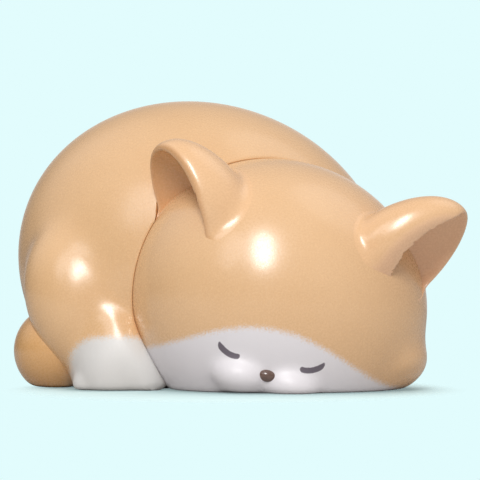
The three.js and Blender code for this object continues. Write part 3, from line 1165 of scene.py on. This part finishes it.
@dataclass
class Ear:
    """One thick-walled cupped ear, its foot flowing into the head."""

    head: Head
    side: Side
    voxel: float = 0.28
    offset: float = 1.7
    over_skull: float = 0.03
    lip: float = 0.8
    region: tuple[float, float, float] = (44.0, 29.0, 29.0)
    shape: EarShape = field(init=False)
    along: np.ndarray = field(init=False)
    mouth: np.ndarray = field(init=False)
    foot: np.ndarray = field(init=False)

    def __post_init__(self) -> None:
        """Works out the ear's axes and place on the head."""
        head, side = self.head, self.side.value
        shape = self.shape = EAR_SHAPES[self.side]
        splay, lean, turn = (math.radians(angle) for angle in (shape.splay, shape.lean, shape.turn))
        self.foot = head.centre + head.right * (self.offset + side * (head.size[0] / 2 - shape.in_side))
        self.foot = self.foot + head.up * (head.size[2] / 2 - shape.below_top)
        self.foot = self.foot + TOWARD_VIEWER * (head.size[1] / 2 - shape.behind_front)
        self.along = (
            head.right * (side * math.sin(splay) * math.cos(lean))
            + head.up * (math.cos(splay) * math.cos(lean))
            + TOWARD_VIEWER * math.sin(lean)
        )
        outward = head.right * (side * math.cos(splay)) - head.up * math.sin(splay)
        mouth = outward * math.sin(turn) + TOWARD_VIEWER * math.cos(turn)
        mouth = mouth - self.along * float(mouth @ self.along)
        self.mouth = mouth / np.linalg.norm(mouth)

    @property
    def stand(self) -> np.ndarray:
        """The ear's axes as a turn."""
        return np.column_stack([self.along, self.mouth, np.cross(self.along, self.mouth)])

    def cone(self) -> Egg:
        """The whole fat cone of the ear."""
        return Egg(self.shape.size, self.foot, self.stand)

    def scoop(self) -> Form:
        """The cup's room and everything beyond the slanted mouth."""
        shape, side = self.shape, self.side.value
        shift = self.stand @ (np.array(shape.cup_shift) * np.array([1, 1, side]))
        cup = Egg(shape.size, self.foot + shift, self.stand).grown(-shape.wall)
        lean, twist = math.radians(shape.mouth_lean), math.radians(shape.mouth_twist * side)
        way = self.stand @ np.array([math.sin(lean), math.cos(lean) * math.cos(twist), math.sin(twist)])
        way = way / np.linalg.norm(way)
        return blend(cup, lambda points: shape.mouth_out - (points - self.foot) @ way, self.lip)

    def outside(self) -> Form:
        """Cone and skull flowed together, kept to the ear's own neighbourhood."""
        joined = blend(self.head.skull(), self.cone(), self.shape.fillet)
        region = Egg(self.region, self.foot, self.stand)
        return lambda points: np.maximum(joined(points) + self.over_skull, region(points))

    def lump(self, amount: float, columns: int) -> bpy.types.Object:
        """Closed skin of the ear before it is scooped, grown by an amount.

        Args:
            amount: How far the skin is moved outward.
            columns: Facets round it.

        Returns:
            The lump.
        """
        inner = self.foot - self.along * 4.0
        name = f"{self.side.name.lower()}_lump"
        return wrap(grown(self.outside(), amount), inner, self.along, columns, name)

    def build(self, bench: Bench) -> bpy.types.Object:
        """Makes the ear.

        Args:
            bench: Where the figurine stands.

        Returns:
            The finished piece.
        """
        piece = self.lump(0.0, 150)
        piece.name = f"ear_{self.side.name.lower()}"
        in_cup = self.foot + self.mouth * 3.0 + self.along * 2.0
        room = wrap(self.scoop(), in_cup, self.along, 96, "room")
        cut(piece, room)
        remesh = piece.modifiers.new("even", "REMESH")
        remesh.mode = "VOXEL"
        remesh.voxel_size = self.voxel
        bake_modifiers(piece)
        finished = carved(self.outside(), self.scoop(), self.shape.rim)
        settle(piece, finished, 6)
        even_out(piece, 0.5)
        settle(piece, finished, 4)
        drop_strays(piece)
        # How deep each vertex lies in the cup, which sets where the cup's painted shade or painted light goes
        depth = self.scoop()(coordinates(piece.data))
        write_share(piece, "cup", np.clip(1.0 - (depth - 0.05) / 0.6, 0, 1))
        coating = EAR_VINYL.start()
        # Lays the painted shade (left cup) or painted light (right cup) into the cup
        coating.lay(self.shape.cup, coating.sheet.share("cup"))
        return bench.deliver(piece, coating.done(), "ear_vinyl", f"{self.side.name.lower()}_ear")


@dataclass
class Tail:
    """Fat tail lobe along the ground behind the haunch."""

    tip_size: tuple[float, float, float] = (16.0, 19.0, 16.4)
    root_size: tuple[float, float, float] = (17.4, 30.0, 17.6)
    in_left: float = 8.8
    height: float = 7.0
    blend: float = 6.0
    columns: int = 160

    def build(self, bench: Bench, body: Body) -> bpy.types.Object:
        """Makes the tail, seated against the body.

        Args:
            bench: Where the figurine stands.
            body: The body that it lies against.

        Returns:
            The finished piece.
        """
        tip = Egg(self.tip_size, body.at(self.in_left, 17.5, self.height))
        root = Egg(self.root_size, body.at(self.in_left, 31.0, self.height))
        form = on_ground(blend(tip, root, self.blend))
        middle = body.at(self.in_left, 24.25, self.height)
        drape = Drape(middle, self.height, self.columns, 26, self.columns // 4, longways=2.0)
        piece = drape.over(form, "tail_lobe")
        room = body.drape(SEAT_GAP, 200).over(grown(body.form(), SEAT_GAP), "room")
        cut(piece, room)
        drop_strays(piece)
        coating = TAIL_VINYL.start()
        cover = SprayEdge(soft=2.4).cover(coating, body.sock.inside(coating, bench) - 0.6)
        coating.lay(SOCK_PAINT, cover * 0.7, matt=True)
        return bench.deliver(piece, coating.done(), "tail_vinyl", "tail")


@dataclass
class Nose:
    """Gloss bead between the bumps of the muzzle."""

    size: tuple[float, float, float] = (3.95, 3.0, 2.4)
    drop: float = 13.4
    proud: float = 0.9

    def build(self, bench: Bench, head: Head) -> bpy.types.Object:
        """Makes the nose bead.

        Args:
            bench: Where the figurine stands.
            head: The head that carries it.

        Returns:
            The finished piece.
        """
        tip = head.on_face(head.form(), head.face_offset, -self.drop) + TOWARD_VIEWER * self.proud
        centre = tip - TOWARD_VIEWER * (self.size[1] / 2)
        bead = Egg(self.size, centre, turned(0, head.roll))
        piece = wrap(bead, centre, head.up, 72, "nose_bead")
        return bench.deliver(piece, NOSE_GLOSS.start().done(), "nose_gloss", "nose")


@dataclass
class BasePlug:
    """The plug under the body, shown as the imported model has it."""

    node: bpy.types.Object

    def dress(self) -> None:
        """Gives the plug its unpainted vinyl."""
        self.node.data.materials.clear()
        self.node.data.materials.append(PLUG_VINYL.start().done())
        LOG.info("base_plug: dressed")


# Studio


@dataclass(frozen=True)
class SoftLight:
    """An oval soft light that looks at the figurine.

    Its way is the direction to it from the figurine, its angles are the degrees that it spans across and up as seen
    from there, and its radiance is how bright its face is.
    """

    name: str
    way: tuple[float, float, float]
    angles: tuple[float, float]
    radiance: float

    def hang(self, distance: float) -> None:
        """Hangs the light at a distance."""
        wide, tall = (2 * distance * math.tan(math.radians(angle / 2)) for angle in self.angles)
        lamp = bpy.data.lights.new(self.name, "AREA")
        lamp.shape = "ELLIPSE"
        lamp.size, lamp.size_y = wide, tall
        lamp.energy = self.radiance * math.pi * wide * tall * math.pi / 4
        stand, way = linked(self.name, lamp), Vector(self.way)
        stand.location = Vector((0, 0, 0.025)) + way.normalized() * distance
        stand.rotation_euler = way.to_track_quat("Z", "Y").to_euler()


LIGHTS = (
    SoftLight("strip", (-0.132, -0.79, 0.596), (13.0, 30.0), 20.0),
    SoftLight("side", (-0.48, -0.67, 0.57), (15.0, 28.0), 2.4),
    SoftLight("sky", (0.5, 0.1, 0.86), (40.0, 40.0), 0.6),
)


@dataclass(frozen=True)
class Footprint:
    """Where head, paw or tail touches the floor: an oval, in millimetres from the body's middle, round which a
    contact shadow is painted on the floor.
    """

    middle: tuple[float, float]
    half_width: float
    half_depth: float


# Ovals round which the floor's contact shadow is painted
FOOTPRINTS = (
    Footprint((15.5, -19.0), 23.0, 20.0),
    Footprint((-17.0, -17.0), 8.0, 11.0),
    Footprint((-28.0, -1.5), 6.3, 15.0),
)


@dataclass
class Studio:
    """Pale floor, soft lights, an even surround and the camera.

    The surround's brightness is given at the horizon, at the zenith and, added, at the right; flags hold it back at
    both sides. The camera's focal length and its rise are in pixels of a picture of the given width.
    """

    backdrop: Colour = field(default_factory=lambda: shown(226, 252, 253))
    horizon: float = 0.4
    zenith: float = 0.62
    sideways: float = 0.25
    flags: float = 0.16
    distance: float = 0.9
    bounce: Colour = field(default_factory=lambda: shown(196, 197, 195))
    shadow_gain: float = 1.05
    # Strength and fall-off of the contact shadow painted on the floor
    painted_shadow_depth: float = 0.7
    painted_shadow_fall: float = 2.3
    picture: int = 480
    focal: float = 2240.0
    rise: float = 52.0

    def camera(self, bench: Bench) -> None:
        """Sets the camera in front, near the ground, tipped up a little."""
        lens = bpy.data.cameras.new("camera")
        lens.sensor_width = 36.0
        lens.lens = lens.sensor_width * self.focal / self.picture
        lens.clip_start, lens.clip_end = 0.05, 20.0
        stand = linked("camera", lens)
        stand.location = Vector(bench.metres(np.array([6.83, -436.0, 18.0])))
        stand.rotation_euler = (math.pi / 2 + math.atan(self.rise / self.focal), 0, 0)
        bpy.context.scene.camera = stand

    def world(self) -> None:
        """Sets the even surround, pale where it is seen or mirrored."""
        world = bpy.data.worlds.new("surround")
        world.use_nodes = True
        bpy.context.scene.world = world
        sheet = NodeSheet(world.node_tree)
        way = Place(sheet, sheet.node("ShaderNodeTexCoord").outputs["Generated"])
        high = way.along(UP).at_least(0.0)
        right = way.along(RIGHT)
        patch = way.along(np.array([-0.68, 0.1, 0.72]))
        behind = (way.along(TOWARD_VIEWER) * -1.0).ramp(0.85, 1.0)
        light = sheet.node("ShaderNodeLightPath")
        seen, through, glossy = (
            Signal(sheet, light.outputs[f"Is {kind} Ray"]) for kind in ("Camera", "Transmission", "Glossy")
        )
        seen = seen + through
        colour = sheet.mixed(shown(255, 252, 252), self.backdrop, seen)
        even = high * (self.zenith - self.horizon) + right * (self.sideways - right * self.flags)
        mirrored = behind * 0.45 + patch.ramp(0.72, 1.0) * 0.6
        even = even + self.horizon
        strength = seen + (1.0 - seen) * (even * (1.0 - glossy * 0.3) + glossy * mirrored)
        back = sheet.node("ShaderNodeBackground", {}, {"Color": colour, "Strength": strength})
        sheet.node("ShaderNodeOutputWorld", {}, {"Surface": back.outputs[0]})

    def painted_contact_shadow(self, place: Place, bench: Bench) -> Signal:
        """Contact shadow painted on the floor just in front of head, paw and tail, where they touch it.

        Args:
            place: Where the floor is.
            bench: Where the figurine stands.

        Returns:
            Share of the floor's colour that the painted shadow takes away.
        """
        nearest: Optional[Signal] = None
        for foot in FOOTPRINTS:
            seen_from = place - bench.metres(np.array([*foot.middle, 0.0]))
            across = seen_from.along(RIGHT / (foot.half_width * MILLIMETRE))
            along = seen_from.along(AWAY / (foot.half_depth * MILLIMETRE))
            away = (across * across + along * along).root() - 1.0
            nearest = away if nearest is None else nearest.step("MINIMUM", away)
        fall = (nearest.at_least(0.0) * -self.painted_shadow_fall).step("EXPONENT")
        return fall * self.painted_shadow_depth * place.along(TOWARD_VIEWER).ramp(-0.01, 0.012)

    def floor(self, bench: Bench) -> None:
        """Lays the pale floor, which keeps a faint cast shadow, carries a painted contact shadow in front of the
        figurine and fades into the backdrop.

        Args:
            bench: Where the figurine stands.
        """
        shape = bmesh.new()
        bmesh.ops.create_circle(shape, cap_ends=True, segments=64, radius=1.2)
        piece = into_object(shape, coordinates(shape) - np.array([0, 0, 0.00002]), "floor")
        material = bpy.data.materials.new("floor_paper")
        material.use_nodes = True
        sheet = NodeSheet(material.node_tree)
        place = sheet.place()
        light = sheet.node("ShaderNodeLightPath")
        seen = Signal(sheet, light.outputs["Is Camera Ray"])
        lit = (*(share * self.shadow_gain for share in self.backdrop[:3]), 1.0)
        # The floor's colour for the camera, darkened towards black by the painted contact shadow
        floor_with_painted_shadow = sheet.mixed(lit, (0.0, 0.0, 0.0, 1.0), self.painted_contact_shadow(place, bench))
        matt = sheet.node("ShaderNodeBsdfDiffuse", {}, {"Color": sheet.mixed(self.bounce, floor_with_painted_shadow, seen)})
        clear = sheet.node("ShaderNodeBsdfTransparent")
        across = place.along(RIGHT / 0.0395)
        deep = (place - np.array([0.0, -0.012, 0.0])).along(AWAY / 0.05)
        faded = ((across * across + deep * deep).root().ramp(0.8, 1.1) * 0.7 + 0.3) * seen
        shader = sheet.node("ShaderNodeMixShader", {}, {0: faded, 1: matt.outputs[0], 2: clear.outputs[0]})
        sheet.node("ShaderNodeOutputMaterial", {}, {"Surface": shader.outputs[0]})
        piece.data.materials.append(material)

    def set_up(self, bench: Bench) -> None:
        """Sets up everything round the figurine."""
        bpy.context.scene.view_settings.view_transform = "Standard"
        self.camera(bench)
        for light in LIGHTS:
            light.hang(self.distance)
        self.world()
        self.floor(bench)


def main() -> None:
    """Builds the figurine piece by piece, then the studio."""
    logging.basicConfig(level=logging.INFO, format="%(name)s %(message)s")
    bench = Bench()
    body = Body()
    head = Head()
    ears = [Ear(head, side) for side in Side]
    body.build(bench, head, ears)
    head.build(bench)
    for ear in ears:
        ear.build(bench)
    Tail().build(bench, body)
    Nose().build(bench, head)
    BasePlug(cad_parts["base_plug"]).dress()
    Studio().set_up(bench)


if __name__ == "__main__":
    main()
